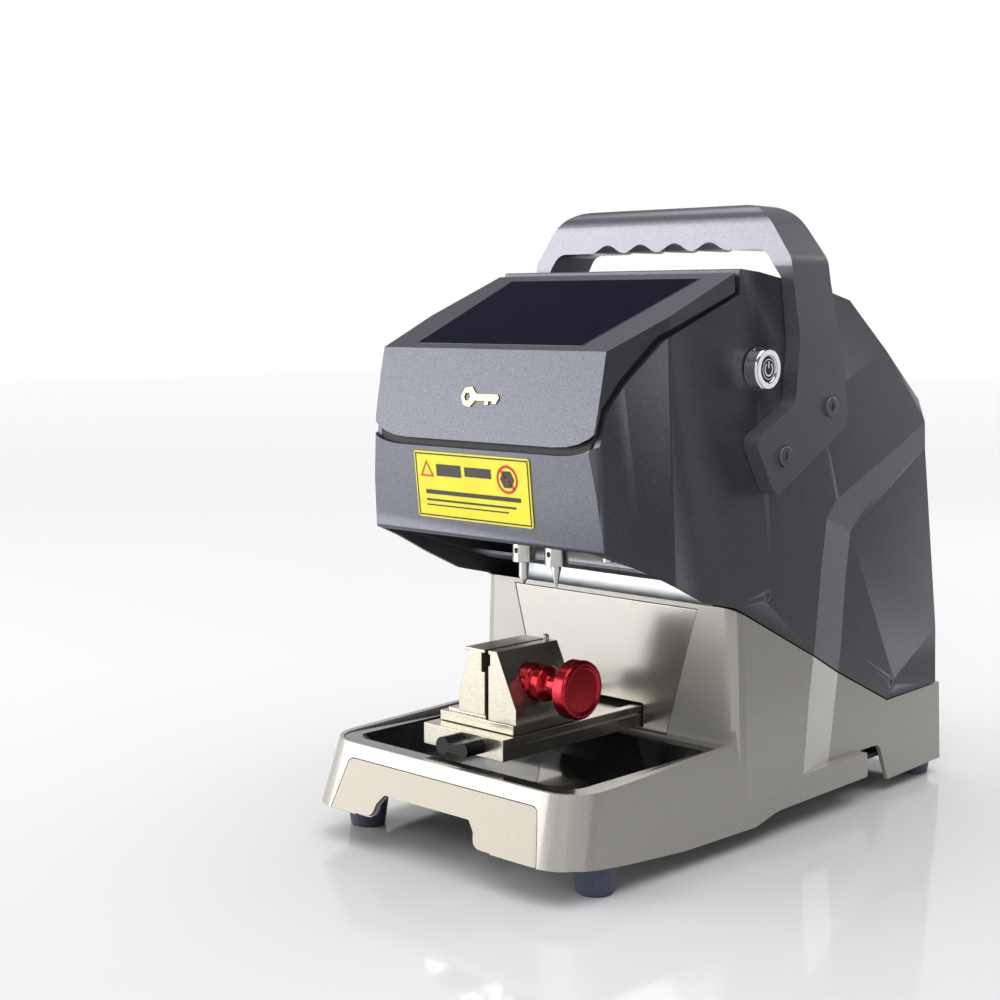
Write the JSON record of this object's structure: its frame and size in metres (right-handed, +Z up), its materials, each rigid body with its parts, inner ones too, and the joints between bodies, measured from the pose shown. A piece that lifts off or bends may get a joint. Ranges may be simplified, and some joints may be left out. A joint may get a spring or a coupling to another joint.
{
  "type": "key duplicating machine",
  "caption": "Bench-top electronic key cutter: covered head with probe and cutter over a sliding key clamp and chip tray, sloping touch screen and carry handle.",
  "frame": {"origin": "the middle of the object's footprint, on the surface that the four feet stand on", "axes": "+X to the right as the user faces the machine, -Y towards the user, +Z up"},
  "size_m": [0.2182, 0.3918, 0.377],
  "materials": {
    "cast_paint": "champagne-silver metallic paint, satin",
    "apron_paint": "warm champagne metallic paint, satin",
    "tray_steel": "dark gunmetal, glossy",
    "panel_plate": "champagne-silver, polished",
    "black_plastic": "moulded black",
    "foot_rubber": "matt navy-grey rubber",
    "graphite_paint": "graphite fine-texture paint",
    "seal_rubber": "matt black",
    "screen_glass": "black-backed cover glass",
    "circuit_board": "green solder mask",
    "gold_plate": "satin gold",
    "label_vinyl": "printed vinyl",
    "handle_plastic": "satin black moulding",
    "screw_steel": "zinc-nickel plated",
    "bezel_chrome": "polished",
    "nickel_steel": "nickel plated, ground",
    "black_steel": "black oxide, ground end",
    "red_anodised": "red anodised, turned",
    "tool_steel": "ground steel",
    "machined_aluminium": "machined",
    "belt_rubber": "neoprene",
    "motor_case": "black painted steel"
  },
  "bodies": {
    "housing": {"base_housing": "cast_paint", "front_apron": "apron_paint", "chip_tray": "tray_steel", "wall_panel": "panel_plate", "base_pan": "black_plastic", "foot_front_left": "foot_rubber", "foot_front_right": "foot_rubber", "foot_rear_left": "foot_rubber", "foot_rear_right": "foot_rubber", "head_housing": "graphite_paint", "head_floor": "graphite_paint", "display_pod": "graphite_paint", "pod_gasket": "seal_rubber", "touch_screen": "screen_glass", "display_module": "circuit_board", "front_badge": "gold_plate", "label_plate": "label_vinyl", "carry_handle": "handle_plastic", "handle_screw_left_1": "screw_steel", "handle_screw_left_2": "screw_steel", "handle_screw_right_1": "screw_steel", "handle_screw_right_2": "screw_steel", "button_bezel": "bezel_chrome", "x_rail_1": "tool_steel", "x_rail_2": "tool_steel", "x_motor": "motor_case", "machine_frame": "machined_aluminium", "y_rail": "tool_steel", "y_motor": "motor_case", "control_board": "circuit_board", "power_supply": "machined_aluminium", "rear_panel": "graphite_paint", "power_inlet": "black_plastic", "usb_port": "bezel_chrome", "fan_frame": "black_plastic"},
    "button": {"button_cap": "black_plastic"},
    "carriage": {"carriage_plate": "nickel_steel", "carriage_bar": "black_steel", "clamp_base": "nickel_steel", "fixed_jaw": "nickel_steel", "y_block": "machined_aluminium"},
    "jaw": {"movable_jaw": "nickel_steel", "stop_pin": "nickel_steel"},
    "knob": {"clamp_knob": "red_anodised"},
    "saddle": {"x_saddle": "machined_aluminium", "z_rail": "tool_steel", "z_motor": "motor_case"},
    "tool_block": {"spindle_block": "machined_aluminium", "probe_holder": "tool_steel", "probe": "tool_steel", "drive_belt": "belt_rubber", "spindle_motor": "motor_case"},
    "spindle": {"cutter_spindle": "tool_steel", "cutter": "tool_steel", "spindle_pulley": "machined_aluminium"},
    "drive_pulley": {"motor_pulley": "machined_aluminium"},
    "x_lead_screw": {"x_screw": "tool_steel"},
    "y_lead_screw": {"y_screw": "tool_steel"},
    "z_lead_screw": {"z_screw": "tool_steel"},
    "fan": {"fan_rotor": "black_plastic"}
  },
  "joints": [
    {"name": "button_press", "type": "slide", "parent": "housing", "child": "button", "axis": [-1, 0, 0], "range_m": [0, 0.0015], "stiffness_N_per_m": 600},
    {"name": "y_screw_turn", "type": "hinge", "parent": "housing", "child": "y_lead_screw", "pos_m": [0.033, 0, 0.05], "axis": [0, 1, 0], "range_deg": [-1350.5, 4050.5]},
    {"name": "carriage_slide", "type": "slide", "parent": "housing", "child": "carriage", "axis": [0, 1, 0], "range_m": [-0.015, 0.045]},
    {"name": "knob_turn", "type": "hinge", "parent": "jaw", "child": "knob", "pos_m": [0.053, -0.135, 0.103], "axis": [1, 0, 0], "range_deg": [-600.5, 1200.5]},
    {"name": "jaw_slide", "type": "slide", "parent": "carriage", "child": "jaw", "axis": [1, 0, 0], "range_m": [-0.0025, 0.005]},
    {"name": "x_screw_turn", "type": "hinge", "parent": "housing", "child": "x_lead_screw", "pos_m": [0, -0.052, 0.23], "axis": [1, 0, 0], "range_deg": [-1800.5, 1800.5]},
    {"name": "saddle_slide", "type": "slide", "parent": "housing", "child": "saddle", "axis": [1, 0, 0], "range_m": [-0.02, 0.02]},
    {"name": "z_screw_turn", "type": "hinge", "parent": "saddle", "child": "z_lead_screw", "pos_m": [0.022, -0.0655, 0.2], "axis": [0, 0, 1], "range_deg": [-5040.5, 0.5]},
    {"name": "tool_slide", "type": "slide", "parent": "saddle", "child": "tool_block", "axis": [0, 0, 1], "range_m": [-0.028, 0]},
    {"name": "motor_spin", "type": "hinge", "parent": "tool_block", "child": "drive_pulley", "pos_m": [-0.05, -0.0905, 0.249], "axis": [0, 0, 1], "continuous": true},
    {"name": "cutter_spin", "type": "hinge", "parent": "tool_block", "child": "spindle", "pos_m": [0.013, -0.1025, 0.2], "axis": [0, 0, 1], "continuous": true},
    {"name": "fan_spin", "type": "hinge", "parent": "housing", "child": "fan", "pos_m": [0, 0.1635, 0.152], "axis": [0, 1, 0], "continuous": true}
  ],
  "couplings": [
    {"joint": "y_screw_turn", "follows": "carriage_slide", "rad_per_m": 1570.8},
    {"joint": "knob_turn", "follows": "jaw_slide", "rad_per_m": 4188.8},
    {"joint": "x_screw_turn", "follows": "saddle_slide", "rad_per_m": 1570.8},
    {"joint": "z_screw_turn", "follows": "tool_slide", "rad_per_m": 3141.6},
    {"joint": "cutter_spin", "follows": "motor_spin", "ratio": 1.5}
  ]
}
